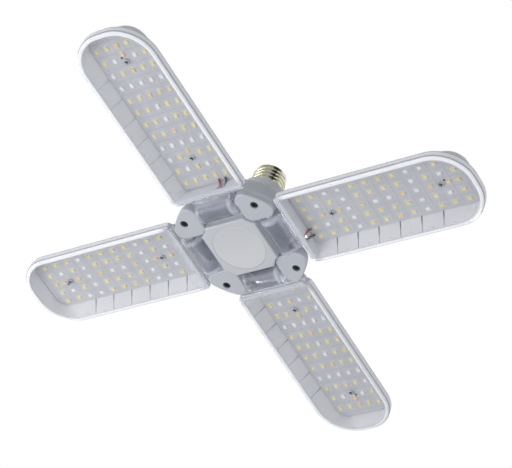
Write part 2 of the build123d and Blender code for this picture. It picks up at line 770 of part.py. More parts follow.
def tray_slice(z, grow, start, fuller=0):
    """Outline of the tray at one height, grown outwards from its inside."""
    tip = sloped(BOARD_TIP + BOARD_TIP_GAP, COVER_TIP, z)
    tip_r = sloped(BOARD_TIP_R + BOARD_TIP_GAP, COVER_TIP_R, z) + grow + fuller
    return Pos(0, 0, z) * blade_face(tray_side(z) + grow, start, tip + grow, tip_r, TRAY_END_R)


def tray_slope(grow, low, high):
    """Sloping inside of the tray as a solid, grown outwards."""
    return loft([tray_slice(z, grow, TRAY_INSIDE_START) for z in (low, high)], ruled=True)


def tray_back():
    """Outside of the tray behind its lip: sloping walls and a bevel round the back."""
    bevel_z = TRAY_BACK_Z - TRAY_BACK_BEVEL
    foot = tray_slice(LIP_BACK_Z, TRAY_SIDE_WALL, TRAY_START)
    shoulder = tray_slice(bevel_z, TRAY_SIDE_WALL, TRAY_START, TRAY_CORNER_FULL)
    bevelled = TRAY_SIDE_WALL - TRAY_BACK_BEVEL
    back = tray_slice(TRAY_BACK_Z, bevelled, TRAY_START + TRAY_BACK_BEVEL, TRAY_CORNER_FULL)
    return loft([foot, shoulder], ruled=True) + loft([shoulder, back], ruled=True)


def tray_ribs():
    """Crossed stiffening ribs and two screw bosses on the back of the tray."""
    z = (TRAY_BACK_Z, TRAY_BACK_Z + BACK_RIB_H)
    last = FIRST_RIB + RIB_STEP * (RIB_COUNT - 1)
    wide = BOARD_W - 2 * BACK_RIB_IN
    ribs = block((FIRST_RIB, last), span(LONG_RIB_PLACE, BACK_RIB_W), z)
    ribs += block((FIRST_RIB, last), span(-LONG_RIB_PLACE, BACK_RIB_W), z)
    for index in range(RIB_COUNT):
        ribs += block(span(FIRST_RIB + index * RIB_STEP, BACK_RIB_W), span(0, wide), z)
    for u in screw_places():
        ribs += post(u, 0, TRAY_BACK_Z, TRAY_BACK_Z + SCREW_BOSS_H, SCREW_BOSS_R)
    return ribs


def tray_grooves():
    """Thin upright grooves in the sloping walls, and a round mark midway between them."""
    groove_top = TRAY_FLOOR_Z - GROOVE_DEEP
    deeper = tray_slope(GROOVE_DEEP, SLOPE_END_Z, groove_top)
    bars = Part()
    for index in range(RIB_COUNT):
        u = span(FIRST_RIB + index * RIB_STEP, GROOVE_W)
        bars += block(u, span(0, COVER_W), (RIM_Z, groove_top))
    grooves = deeper & bars
    mark_z = SLOPE_END_Z + PIN_MARK_IN
    reach = tray_side(mark_z) + PIN_MARK_DEEP
    for index in range(RIB_COUNT + 1):
        grooves += bar_y(FIRST_RIB + (index - 0.5) * RIB_STEP, mark_z, -reach, reach, PIN_MARK_R)
    return grooves


# White tray of one blade: floor behind the board, sloping side walls with grooves, and a lip in the cover
def blade_tray():
    lip_face = blade_face(
        COVER_W / 2 - COVER_WALL - FIT_GAP,
        TRAY_START,
        COVER_TIP - COVER_WALL - FIT_GAP,
        COVER_TIP_R - COVER_WALL - FIT_GAP,
        COVER_HUB_R - COVER_WALL,
    )
    tray = prism(lip_face, RIM_Z, LIP_BACK_Z)
    tray += tray_back()
    tray += tray_ribs()
    tray -= tray_slope(0, SLOPE_END_Z, TRAY_FLOOR_Z)
    tray -= extrude(tray_slice(SLOPE_END_Z, 0, TRAY_INSIDE_START), amount=RIM_Z - SLOPE_END_Z)
    tray -= tray_grooves()
    for u in screw_places():
        hole_top = BOARD_FACE_Z + BOARD_SCREW_L + PILOT_SPARE
        tray -= post(u, 0, TRAY_FLOOR_Z, hole_top, BOARD_SCREW_R + SCREW_GAP)
    return tray - lead_window()


def row_place(row):
    """Distance of a row of lights from the lamp's axis. The row nearest the hub is 1."""
    return FIRST_ROW + (row - 1) * ROW_STEP


def screw_places():
    """Distances of the two board screws from the lamp's axis."""
    return [row_place(row) - BOARD_SCREW_BACK for row in SCREW_ROWS]


# LED board of one blade: thin metal board, round at the tip, held by two screws
def blade_board():
    face = blade_face(BOARD_W / 2, BOARD_START, BOARD_TIP, BOARD_TIP_R, BOARD_HUB_R)
    board = prism(face, BOARD_FACE_Z, TRAY_FLOOR_Z)
    for u in screw_places():
        board -= post(u, 0, BOARD_FACE_Z, TRAY_FLOOR_Z, BOARD_SCREW_R + HOLE_GAP)
    return board


def led():
    """One light: a flat package with a shallow round window, face down from z = 0."""
    package = block(span(0, LED_L), span(0, LED_W), (-LED_H, 0))
    return package - post(0, 0, -LED_H, LED_WINDOW_DEEP - LED_H, LED_WINDOW_R)


# Lights of one kind on one blade. The middle one beside a screw sits further out
def blade_leds(kind):
    package = led()
    placed = []
    for row, line in enumerate(LED_PATTERN, start=1):
        for column, letter in enumerate(line, start=-2):
            if letter == kind:
                shift = LED_SHIFT if row in SCREW_ROWS and column == 0 else 0
                place = Pos(row_place(row) + shift, column * COLUMN_STEP, BOARD_FACE_Z)
                placed.append(place * package)
    return placed


# Two screws of one LED board
def board_screws():
    one = screw(BOARD_SCREW_R, BOARD_SCREW_L, BOARD_HEAD_R, BOARD_HEAD_H)
    return [Pos(u, 0, BOARD_FACE_Z) * one for u in screw_places()]


# Lead on the blade's side of a hinge: from a pad on the board, through the neck, to the hinge axis
def blade_lead(axis_offset, pad_v, window_v):
    z = HINGE_Z + axis_offset
    pad_z = BOARD_FACE_Z - LEAD_R
    turn = BARREL_L / 2 - COVER_WALL - LEAD_BEND - LEAD_END_GAP
    points = [
        (BOARD_START + 2.8, pad_v, pad_z),
        (BOARD_START + 0.8, pad_v, pad_z - 0.4),
        (BOARD_START - 2.5, window_v, BOARD_FACE_Z - LEAD_BELOW_BOARD + axis_offset / 2),
        (HINGE_R + 7.5, turn - 0.4, z + 1.9),
        (HINGE_R, turn, z),
        (HINGE_R, NOTCH_HALF + BEARING_L + LEAD_R, z),
    ]
    return tube(points, LEAD_R, LEAD_BEND)


def blade_nodes():
    """Solids of each node of the blade on +X."""
    upper = LEAD_APART / 2
    return {
        "cover": [blade_cover()],
        "tray": [blade_tray()],
        "board": [blade_board()],
        "leds_warm": blade_leds("w"),
        "leds_white": blade_leds("c"),
        "leds_red": blade_leds("r"),
        "board_screws": board_screws(),
        "lead_red": [blade_lead(upper, 9.0, 10.0)],
        "lead_black": [blade_lead(-upper, 14.6, 13.0)],
    }


def hub_nodes():
    """Shape of each node of the hub."""
    upper = LEAD_APART / 2
    return {
        "screw_shell": screw_shell(),
        "cap_insulator": cap_insulator(),
        "centre_contact": centre_contact(),
        "upper_housing": upper_housing(),
        "lower_cover": lower_cover(),
        "label_disc": label_disc(),
        "cover_screws": cover_screws(),
        "driver_board": driver_board(),
        "input_capacitor": input_capacitor(),
        "output_capacitor": output_capacitor(),
        "transformer_core": transformer_core(),
        "transformer_winding": transformer_winding(),
        "choke": choke(),
        "film_capacitor": film_capacitor(),
        "bridge_rectifier": bridge_rectifier(),
        "driver_chip": driver_chip(),
        "fuse_resistor": fuse_resistor(),
        "live_wire": live_wire(),
        "neutral_wire": neutral_wire(),
        "hub_leads_red": hub_leads(upper, RED_PAD_IN),
        "hub_leads_black": hub_leads(-upper, BLACK_PAD_IN),
        "lead_sleeves": lead_sleeves(),
    }


def main():
    os.makedirs("parts", exist_ok=True)
    nodes = hub_nodes()
    for name, solids in blade_nodes().items():
        for letter, angle in BLADES:
            placed = [around(solid, angle) for solid in solids]
            nodes[f"blade_{letter}_{name}"] = placed[0] if len(placed) == 1 else Compound(placed)
    for name, shape in nodes.items():
        export_step(shape, f"parts/{name}.step")


main()
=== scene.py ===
from math import cos, radians, sin

import bmesh
import bpy
from mathutils import Matrix, Vector


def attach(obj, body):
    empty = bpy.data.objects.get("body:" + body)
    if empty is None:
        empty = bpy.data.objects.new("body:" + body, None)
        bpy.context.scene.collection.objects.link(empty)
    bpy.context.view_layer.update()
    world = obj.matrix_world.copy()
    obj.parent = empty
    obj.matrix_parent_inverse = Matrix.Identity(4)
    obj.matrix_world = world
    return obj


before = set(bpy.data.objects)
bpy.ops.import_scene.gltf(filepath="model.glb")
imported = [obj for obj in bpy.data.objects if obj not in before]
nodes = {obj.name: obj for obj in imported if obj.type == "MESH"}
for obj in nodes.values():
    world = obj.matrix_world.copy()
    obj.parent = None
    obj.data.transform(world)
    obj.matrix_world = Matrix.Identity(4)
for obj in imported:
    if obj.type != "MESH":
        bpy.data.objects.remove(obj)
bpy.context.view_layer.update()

bpy.context.scene.view_settings.view_transform = "Standard"

# Camera: below the hanging lamp and to one side, looking up at the hub.
# Its place, turn and focal length come from a fit to the lights and the hub's screws in the photograph.
camera_right = Vector((0.82187, 0.49332, 0.28491))
camera_up = -Vector((-0.21539, 0.73208, -0.64627))
camera_back = -Vector((-0.52739, 0.46978, 0.70793))
camera_place = Vector((0.782936, -0.688157, -1.086867))
photo_width = 512
focal_pixels = 2032.74

camera = bpy.data.objects.new("camera", bpy.data.cameras.new("camera"))
bpy.context.scene.collection.objects.link(camera)
turn = Matrix((camera_right, camera_up, camera_back)).transposed()
camera.matrix_world = Matrix.Translation(camera_place) @ turn.to_4x4()
camera.data.lens = focal_pixels / photo_width * camera.data.sensor_width
camera.data.clip_end = 50
bpy.context.scene.camera = camera


# Floor and studio: a pale matt floor well below the hanging lamp, a white surround that gloss and
# clear plastic show, a black flag that gloss alone shows, and soft lamps below, beside and above.
class Signal:
    """A value or colour inside a material. Sums on it add the Math nodes that work them out."""

    def __init__(self, tree, socket):
        self.tree = tree
        self.socket = socket

    def node(self, kind, settings, values, out=0):
        """Add a node: its settings first, then values or links for its sockets."""
        node = self.tree.nodes.new("ShaderNode" + kind)
        for name, value in settings.items():
            setattr(node, name, value)
        for name, value in values.items():
            if isinstance(value, Signal):
                self.tree.links.new(value.socket, node.inputs[name])
            else:
                node.inputs[name].default_value = value
        return Signal(self.tree, node.outputs[out])

    def maths(self, operation, *others):
        values = dict(enumerate((self, *others)))
        return self.node("Math", {"operation": operation}, values)

    def __add__(self, other):
        return self.maths("ADD", other)

    __radd__ = __add__

    def __sub__(self, other):
        return self.maths("SUBTRACT", other)

    def __rsub__(self, other):
        return self.node("Math", {"operation": "SUBTRACT"}, {0: other, 1: self})

    def __mul__(self, other):
        return self.maths("MULTIPLY", other)

    __rmul__ = __mul__

    def __truediv__(self, other):
        return self.maths("DIVIDE", other)

    def __gt__(self, other):
        return self.maths("GREATER_THAN", other)

    def __lt__(self, other):
        return self.maths("LESS_THAN", other)

    def size(self):
        return self.maths("ABSOLUTE")

    def ramp(self, low, high, start=0.0, end=1.0):
        """Smooth change from start to end while the value goes from low to high."""
        settings = {"interpolation_type": "SMOOTHSTEP"}
        sockets = {0: self, 1: low, 2: high, 3: start, 4: end}
        return self.node("MapRange", settings, sockets)

    def blend(self, first, second):
        """Colour between two others, with this value as the share of the second."""
        first = (*first, 1) if isinstance(first, tuple) else first
        second = (*second, 1) if isinstance(second, tuple) else second
        return self.node("Mix", {"data_type": "RGBA"}, {0: self, 6: first, 7: second}, out=2)

    def noise(self, scale, detail=3.0):
        values = {"Vector": self, "Scale": scale, "Detail": detail}
        return self.node("TexNoise", {}, values)

    def parts(self):
        """The three components of a place."""
        return [self.node("SeparateXYZ", {}, {0: self}, out=index) for index in range(3)]


def new_material(name, constants):
    """Make a material. Its shader has constants set on its own sockets."""
    material = bpy.data.materials.new(name)
    material.use_nodes = True
    tree = material.node_tree
    shader = tree.nodes["Principled BSDF"]
    for socket, value in constants.items():
        shader.inputs[socket].default_value = value
    place = Signal(tree, tree.nodes.new("ShaderNodeTexCoord").outputs["Object"])
    return material, shader, place


def feed(shader, **signals):
    """Link signals to a shader's sockets, with a bump height linked as its normal."""
    for name, signal in signals.items():
        socket = shader.inputs[name.replace("_", " ").title()]
        signal.tree.links.new(signal.socket, socket)


def bump(height, depth, strength=1.0):
    values = {"Height": height, "Distance": depth, "Strength": strength}
    return height.node("Bump", {}, values)


def layered(share, under, over):
    """Surface between two shaders, with the share of the second one."""
    return share.node("MixShader", {}, {0: share, 1: under, 2: over})


def use_surface(material, surface):
    """Show a mixed surface in place of the plain shader."""
    output = material.node_tree.nodes["Material Output"]
    material.node_tree.links.new(surface.socket, output.inputs["Surface"])


def link(obj):
    bpy.context.scene.collection.objects.link(obj)
    return obj


def select_none():
    bpy.ops.object.select_all(action="DESELECT")


floor_size = 16.0
floor_z = -2.6
select_none()
bpy.ops.mesh.primitive_plane_add(size=floor_size, location=(0, 0, floor_z))
floor = bpy.context.object
floor.name = "floor"
floor_material, floor_shader, floor_place = new_material("pale floor", {"Specular IOR Level": 0.2})
speckle = floor_place.noise(40.0).ramp(0.3, 0.7)
feed(
    floor_shader,
    base_color=speckle.blend((0.82, 0.82, 0.83), (0.86, 0.86, 0.87)),
    roughness=speckle.ramp(0, 1, 0.75, 0.9),
)
floor.data.materials.append(floor_material)

world = bpy.data.worlds.new("studio")
bpy.context.scene.world = world
world.use_nodes = True
tree = world.node_tree
fill_level = 0.28
card_level = 0.02
flag_bearing = -25
side_bearing = -101
rays = tree.nodes.new("ShaderNodeLightPath").outputs
to_camera = Signal(tree, rays["Is Camera Ray"])
on_gloss = Signal(tree, rays["Is Glossy Ray"])
through_clear = Signal(tree, rays["Is Transmission Ray"])
outlook = Signal(tree, tree.nodes.new("ShaderNodeTexCoord").outputs["Generated"])
east, north, up = outlook.parts()
level_part = (east * east + north * north).maths("SQRT")


def towards(bearing):
    """How nearly a direction points to a level bearing, given in degrees, as a cosine."""
    return (east * cos(radians(bearing)) + north * sin(radians(bearing))) / level_part


above = up.ramp(-0.05, 0.12)
black_card = above * towards(flag_bearing).ramp(0.62, 0.96)
grey_card = above * towards(side_bearing).ramp(0.4, 0.9) * 0.6
card = black_card.maths("MAXIMUM", grey_card) * on_gloss
shown = to_camera.maths("MAXIMUM", on_gloss.maths("MAXIMUM", through_clear))
white = 1 - card * (1 - card_level)
level = fill_level + (white - fill_level) * shown
cool = shown.blend((0.86, 0.92, 1.0), (1, 1, 1))
surround = tree.nodes["Background"]
tree.links.new(level.socket, surround.inputs["Strength"])
tree.links.new(cool.socket, surround.inputs["Color"])


def black_flag(bearing, distance, middle_z, width, height):
    """A tall black cloth with faded edges that gives the screw cap the photograph's dark band."""
    select_none()
    bpy.ops.mesh.primitive_plane_add(size=1)
    flag = bpy.context.object
    flag.name = "flag"
    flag.scale = (width, height, 1)
    bpy.ops.object.transform_apply(scale=True)
    place = Vector((distance * cos(radians(bearing)), distance * sin(radians(bearing)), middle_z))
    flag.rotation_euler = place.to_track_quat("Z", "Y").to_euler()
    flag.location = place
    flag.visible_camera = False
    flag.visible_diffuse = False
    flag.visible_transmission = False
    flag.visible_shadow = False
    cloth, shader, spot = new_material("black flag cloth", {"Specular IOR Level": 0.0})
    across, along = spot.parts()[:2]
    weave = spot.noise(300.0)
    feed(shader, base_color=weave.blend((0.01, 0.01, 0.01), (0.03, 0.03, 0.03)))
    across_fade = across.size().ramp(width * 0.5, width * 0.15)
    along_fade = along.size().ramp(height * 0.5, height * 0.4)
    clear = spot.node("BsdfTransparent", {}, {})
    surface = layered(across_fade * along_fade, clear, Signal(cloth.node_tree, shader.outputs[0]))
    use_surface(cloth, surface)
    flag.data.materials.append(cloth)


black_flag(flag_bearing, distance=1.2, middle_z=-0.3, width=0.46, height=4.4)


def studio_lamp(name, place, aim, size, power):
    """A round soft lamp, hidden from the camera."""
    lamp = bpy.data.lights.new(name, "AREA")
    lamp.shape = "DISK"
    lamp.size = size
    lamp.energy = power
    holder = link(bpy.data.objects.new(name, lamp))
    holder.location = place
    holder.rotation_euler = (Vector(aim) - Vector(place)).to_track_quat("-Z", "Y").to_euler()
    holder.visible_camera = False
    return holder


hub_middle = (0, 0, -0.05)
blade_d_middle = (-0.125, 0, -0.05)
studio_lamp("key lamp", (-0.6, -0.6, -0.75), hub_middle, 0.7, 4.1)
studio_lamp("side lamp", (-0.5, -1.7, -0.1), hub_middle, 1.0, 3.5)
studio_lamp("right lamp", (1.6, -0.3, -0.6), hub_middle, 1.0, 4.5)
top_lamp = studio_lamp("top lamp", (-0.6, 0.9, 1.6), hub_middle, 1.2, 17.0)
left_lamp = studio_lamp("left lamp", (-0.45, -0.1, -0.35), blade_d_middle, 0.2, 0.17)
left_lamp.data.color = (1.0, 0.93, 0.86)
for holder in (top_lamp, left_lamp):
    holder.visible_glossy = False
studio_lamp("floor lamp", (0, 0, -0.5), (0, 0, floor_z), 12.0, 170.0)


# Screw cap: a nickel-plated brass shell with a rolled thread, crimped round black glass, with a
# brass contact button riveted through the middle.
def paint(names, material):
    for name in names:
        nodes[name].data.materials.clear()
        nodes[name].data.materials.append(material)


shell_metal, shader, place = new_material("nickelled brass", {"Metallic": 1.0, "IOR": 1.6})
height = place.parts()[2]
rolled = (height * 2600.0 + place.noise(60.0) * 6.0).maths("SINE")
wear = place.noise(220.0, 5.0).ramp(0.5, 0.85) * 0.6
tint = place.noise(35.0, 2.0).ramp(0.3, 0.7)
feed(
    shader,
    base_color=wear.blend(tint.blend((0.68, 0.66, 0.50), (0.75, 0.73, 0.58)), (0.54, 0.49, 0.34)),
    roughness=wear.ramp(0, 1, 0.17, 0.28),
    normal=bump(rolled * 0.3 + place.noise(500.0) * 0.4, 0.00001),
)
paint(["screw_shell"], shell_metal)

glass, shader, place = new_material("black cap glass", {"Roughness": 0.12, "IOR": 1.52})
swirl = place.noise(160.0, 4.0).ramp(0.35, 0.7)
feed(
    shader,
    base_color=swirl.blend((0.012, 0.012, 0.014), (0.035, 0.03, 0.03)),
    normal=bump(swirl, 0.00005),
)
paint(["cap_insulator"], glass)

brass, shader, place = new_material("contact brass", {"Metallic": 1.0})
scuff = place.noise(700.0, 6.0).ramp(0.4, 0.65)
feed(
    shader,
    base_color=scuff.blend((0.72, 0.56, 0.30), (0.55, 0.43, 0.25)),
    roughness=scuff.ramp(0, 1, 0.22, 0.42),
    normal=bump(scuff, 0.00004),
)
paint(["centre_contact"], brass)

# Housing: two white ABS mouldings with a fine spark finish, the bell above and the cover with
# four ears below, screwed together round the hinges. The collar and the centre plate are painted
# lighter than the bell and the ears, as painted light, set after the photograph.
collar_foot_z = -0.0075
plate_step_z = -0.0610
housing_white, shader, place = new_material("moulded white", {"IOR": 1.5, "Coat Roughness": 0.25})
spark = place.noise(2600.0, 2.0)
flow = place.noise(26.0, 3.0).ramp(0.3, 0.7)
height = place.parts()[2]
# Painted light: the centre plate's face and the collar are one white painted in lighter tones.
plate_painted_light = height.ramp(plate_step_z + 0.0004, plate_step_z - 0.0004)
collar_painted_light = height.ramp(collar_foot_z - 0.001, collar_foot_z + 0.001)
bell_white = flow.blend((0.545, 0.56, 0.60), (0.575, 0.59, 0.63))
upper_lit_and_shaded = collar_painted_light.blend(bell_white, (0.78, 0.785, 0.80))
feed(
    shader,
    base_color=plate_painted_light.blend(upper_lit_and_shaded, (0.62, 0.63, 0.655)),
    roughness=flow.ramp(0, 1, 0.34, 0.42),
    coat_weight=flow.ramp(0, 1, 0.05, 0.12),
    normal=bump(spark, 0.00003, 0.5),
)
paint(["upper_housing", "lower_cover"], housing_white)

# Label disc: a bare, slightly glossy foil disc, pressed into the round recess of the centre plate,
# with a painted highlight round its rim and painted light that makes it lighter towards one side.
label_foil, shader, place = new_material("bare label foil", {"IOR": 1.48, "Coat Weight": 0.25})
across, along = place.parts()[:2]
radius = (across * across + along * along).maths("SQRT")
# Painted highlight round the rim, and painted light growing towards one side of the disc.
rim_highlight = radius.ramp(0.0186, 0.0196)
grain = place.noise(300.0, 3.0)
side_light = along.ramp(-0.02, 0.015)
feed(
    shader,
    base_color=rim_highlight.blend(side_light.blend((0.64, 0.645, 0.66), (0.70, 0.705, 0.72)), (0.72, 0.72, 0.735)),
    roughness=grain.ramp(0.3, 0.7, 0.29, 0.31),
    normal=bump(grain, 0.000001),
)
paint(["label_disc"], label_foil)

# Cover screws: black-oxided steel with a cross recess, sunk in a pocket in each ear, where they hold
# the cover to the bell.
black_steel, shader, place = new_material("black screw steel", {"Metallic": 0.6})
oxide = place.noise(1800.0, 5.0).ramp(0.4, 0.7)
feed(
    shader,
    base_color=oxide.blend((0.03, 0.03, 0.034), (0.10, 0.10, 0.11)),
    roughness=oxide.ramp(0, 1, 0.28, 0.45),
    normal=bump(oxide, 0.00004),
)
paint(["cover_screws"], black_steel)

# Driver: a round fibreglass board with its capacitors, transformer, choke and chips, hidden
# inside the bell above the hinges.
def simple_finish(name, first, second, rough, scale, metallic=0.0, depth=0.00003):
    """Finish of two close tones that vary over the piece, with a fine bump."""
    material, shader, place = new_material(name, {"Metallic": metallic})
    tone = place.noise(scale, 4.0).ramp(0.35, 0.65)
    feed(
        shader,
        base_color=tone.blend(first, second),
        roughness=tone.ramp(0, 1, rough, rough + 0.12),
        normal=bump(tone, depth),
    )
    return material


driver_finishes = {
    "driver_board": ("fibreglass board", (0.16, 0.30, 0.10), (0.22, 0.36, 0.14), 0.4, 500.0),
    "input_capacitor": ("capacitor sleeve", (0.02, 0.02, 0.05), (0.03, 0.03, 0.07), 0.3, 200.0),
    "output_capacitor": ("small capacitor sleeve", (0.02, 0.05, 0.03), (0.03, 0.07, 0.04), 0.3, 200.0),
    "transformer_core": ("ferrite", (0.05, 0.05, 0.055), (0.09, 0.09, 0.09), 0.55, 900.0),
    "transformer_winding": ("yellow winding tape", (0.62, 0.46, 0.06), (0.70, 0.54, 0.10), 0.45, 300.0),
    "choke": ("copper winding", (0.42, 0.16, 0.07), (0.52, 0.22, 0.10), 0.3, 1500.0),
    "film_capacitor": ("brown film capacitor", (0.35, 0.08, 0.03), (0.42, 0.11, 0.05), 0.35, 250.0),
    "bridge_rectifier": ("chip resin", (0.02, 0.02, 0.02), (0.04, 0.04, 0.04), 0.5, 1200.0),
    "driver_chip": ("small chip resin", (0.02, 0.02, 0.02), (0.035, 0.035, 0.035), 0.5, 1200.0),
    "fuse_resistor": ("resistor lacquer", (0.20, 0.42, 0.30), (0.26, 0.48, 0.36), 0.35, 700.0),
}
for name, values in driver_finishes.items():
    paint([name], simple_finish(*values))

# Leads: thin PVC-covered wires from the driver through the hinges to the boards, with soft
# sleeves on the hinge axes.
white_pvc = simple_finish("white wire", (0.72, 0.71, 0.68), (0.8, 0.79, 0.76), 0.35, 300.0)
red_pvc = simple_finish("red wire", (0.28, 0.008, 0.016), (0.38, 0.014, 0.024), 0.35, 400.0)
black_pvc = simple_finish("black wire", (0.02, 0.02, 0.022), (0.035, 0.035, 0.04), 0.4, 400.0)
sleeve_rubber = simple_finish("sleeve rubber", (0.55, 0.55, 0.57), (0.62, 0.62, 0.64), 0.5, 500.0)
letters = "abcd"
paint(["live_wire", "neutral_wire"], white_pvc)
paint(["hub_leads_red"] + [f"blade_{letter}_lead_red" for letter in letters], red_pvc)
paint(["hub_leads_black"] + [f"blade_{letter}_lead_black" for letter in letters], black_pvc)
paint(["lead_sleeves"], sleeve_rubber)

# Trays: white moulded polycarbonate shells behind the boards, with sloping sides and thin
# upright grooves where the mould's ribs stood. The painted shade in the grooves is set blade by
# blade, after the photograph.
blade_angles = {"a": -90, "b": 0, "c": 90, "d": 180}
groove_shade = {"a": 0.12, "b": 1.0, "c": 0.5, "d": 0.85}
tray_inside = 0.049185
first_rib = 0.066485
rib_step = 0.017403
tray_floor_z = -0.0459


def along_blade(place, angle):
    """Place on a blade: distance from the lamp's axis, and distance across from its middle."""
    settings = {"vector_type": "POINT"}
    turned = place.node("Mapping", settings, {"Vector": place, "Rotation": (0, 0, radians(-angle))})
    return turned.parts()


def tray_white(letter):
    """White of one tray, with painted shade in the grooves, on the bare floor and on the end wall at the
    hub, where less light comes back.
    """
    material, shader, place = new_material("tray white " + letter, {"IOR": 1.5})
    out, across, height = along_blade(place, blade_angles[letter])
    flow = place.noise(30.0, 3.0).ramp(0.3, 0.7)
    spark = place.noise(2200.0, 2.0)
    step = (out - first_rib) / rib_step
    beside = ((step + 0.5).maths("FRACT") - 0.5).size() * rib_step
    # Painted shade: the grooves darken towards their foot, the end wall at the hub takes a grey-blue tint
    # and the bare floor round the board a dark line.
    groove = beside.ramp(0.0008, 0.0003) * (step > -0.4) * (step < 5.4) * (height < tray_floor_z)
    depth = height.ramp(tray_floor_z - 0.007, tray_floor_z - 0.002, 0.15, 0.85)
    plain = flow.blend((0.80, 0.805, 0.82), (0.84, 0.842, 0.852))
    hub_wall_shade = out.ramp(tray_inside + 0.0012, tray_inside + 0.0002)
    bare_floor = (height - tray_floor_z).size() < 0.0001
    shade = (groove * depth * groove_shade[letter]).maths("MAXIMUM", bare_floor * 0.8)
    feed(
        shader,
        base_color=shade.blend((hub_wall_shade * 0.6).blend(plain, (0.60, 0.61, 0.66)), (0.22, 0.22, 0.26)),
        roughness=flow.ramp(0, 1, 0.36, 0.46),
        normal=bump(spark, 0.00002, 0.5),
    )
    return material


for letter in letters:
    paint([f"blade_{letter}_tray"], tray_white(letter))

# LED boards: aluminium-backed boards under white solder lacquer, where the copper tracks that
# join the lights show as faint raised bands.
first_row = 0.055985
row_step = 0.0110014
column_step = 0.0086
pattern = (
    "wwwww", "wcrcw", "cwrww", "ccccc", "wwrww", "wwcww",
    "wwcww", "wwrww", "ccccc", "cwrww", "wcrcw", "wwrww",
)
screw_rows = (3, 11)
light_shift = 0.0033
board_face_z = -0.0469
track_gap = 0.0011
track_half = 0.0195


def board_lacquer(letter):
    """White lacquer of one board, with tracks along its rows and columns."""
    material, shader, place = new_material("board lacquer " + letter, {"IOR": 1.5})
    out, across = along_blade(place, blade_angles[letter])[:2]
    row_place = (out - first_row + row_step / 2) / row_step
    row_part = (row_place.maths("FRACT") - 0.5).size() * row_step
    row_gap = (row_part > row_step / 2 - track_gap / 2) * (across.size() < track_half)
    column_place = (across + column_step * 2.5) / column_step
    column_part = (column_place.maths("FRACT") - 0.5).size() * column_step
    column_gap = (column_part > column_step / 2 - track_gap / 4) * (across.size() < track_half)
    bare = row_gap.maths("MAXIMUM", column_gap)
    cloud = place.noise(90.0, 3.0).ramp(0.3, 0.7)
    plain = cloud.blend((0.60, 0.60, 0.625), (0.64, 0.64, 0.66))
    feed(
        shader,
        base_color=(bare * 0.30).blend(plain, (0.42, 0.42, 0.46)),
        roughness=cloud.ramp(0, 1, 0.32, 0.42),
        normal=bump(1 - bare, 0.00005, 0.6),
    )
    return material


for letter in letters:
    paint([f"blade_{letter}_board"], board_lacquer(letter))

# Lights: white ceramic packages soldered to the boards, each with a drop of phosphor resin in
# its round window. Warm, clear white and red ones form a fixed pattern.
packages = {
    "warm": ((0.83, 0.73, 0.40), (0.88, 0.79, 0.48)),
    "white": ((0.86, 0.86, 0.86), (0.93, 0.93, 0.92)),
    "red": ((0.82, 0.64, 0.38), (0.86, 0.70, 0.44)),
}
for kind, tones in packages.items():
    resin = simple_finish(kind + " light package", *tones, 0.3, 600.0)
    paint([f"blade_{letter}_leds_{kind}" for letter in letters], resin)

# The drops are set paler than their packages: partly the resin's own colour, partly a painted highlight on
# each dome.
phosphors = {
    "w": ("warm", (0.88, 0.75, 0.42), (0.95, 0.87, 0.63)),
    "c": ("white", (0.97, 0.97, 0.96), (0.99, 0.99, 0.98)),
    "r": ("red", (0.90, 0.66, 0.40), (0.94, 0.78, 0.54)),
}
drop_radius = 0.00128
drop_height = 0.00030
package_face = board_face_z - 0.0007


def light_places(kind):
    """Places of one kind of light on the blade that lies along +X."""
    places = []
    for row, line in enumerate(pattern, start=1):
        for column, letter in enumerate(line, start=-2):
            if letter == kind:
                out = first_row + (row - 1) * row_step
                if row in screw_rows and column == 0:
                    out += light_shift
                places.append(Vector((out, column * column_step, 0)))
    return places


def copies(source, places, name, angle):
    """One mesh of copies of a small piece at several places on a blade, at its turn."""
    mesh = bmesh.new()
    for place in places:
        start = len(mesh.verts)
        mesh.from_mesh(source.data)
        mesh.verts.ensure_lookup_table()
        added = mesh.verts[start:]
        bmesh.ops.translate(mesh, vec=place, verts=added)
    blade_turn = Matrix.Rotation(radians(angle), 3, "Z")
    bmesh.ops.rotate(mesh, cent=(0, 0, 0), matrix=blade_turn, verts=mesh.verts)
    data = bpy.data.meshes.new(name)
    mesh.to_mesh(data)
    mesh.free()
    data.materials.append(source.data.materials[0])
    return link(bpy.data.objects.new(name, data))


def resin_drop(colour_name, first, second):
    """One drop of phosphor resin, a low dome with a flat foot in the window."""
    select_none()
    foot = (0, 0, package_face + 0.0001)
    bpy.ops.mesh.primitive_circle_add(vertices=16, radius=drop_radius, fill_type="NGON", location=foot)
    drop = bpy.context.object
    bpy.ops.object.mode_set(mode="EDIT")
    bpy.ops.mesh.select_all(action="SELECT")
    for share, rise in ((0.96, 0.5), (0.78, 0.35), (0.6, 0.15)):
        bpy.ops.mesh.extrude_region_move(TRANSFORM_OT_translate={"value": (0, 0, -drop_height * rise)})
        bpy.ops.transform.resize(value=(share, share, 1))
    bpy.ops.mesh.select_all(action="SELECT")
    bpy.ops.mesh.normals_make_consistent(inside=False)
    bpy.ops.object.mode_set(mode="OBJECT")
    bpy.ops.object.transform_apply(location=True, rotation=True, scale=True)
    bpy.ops.object.shade_smooth()
    material = simple_finish(colour_name + " phosphor", first, second, 0.28, 130.0)
    drop.data.materials.append(material)
    return drop


for kind, (colour_name, first, second) in phosphors.items():
    drop = resin_drop(colour_name, first, second)
    for letter in letters:
        name = f"phosphor_{colour_name}_{letter}"
        piece = copies(drop, light_places(kind), name, blade_angles[letter])
        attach(piece, f"blade_{letter}")
    bpy.data.objects.remove(drop)
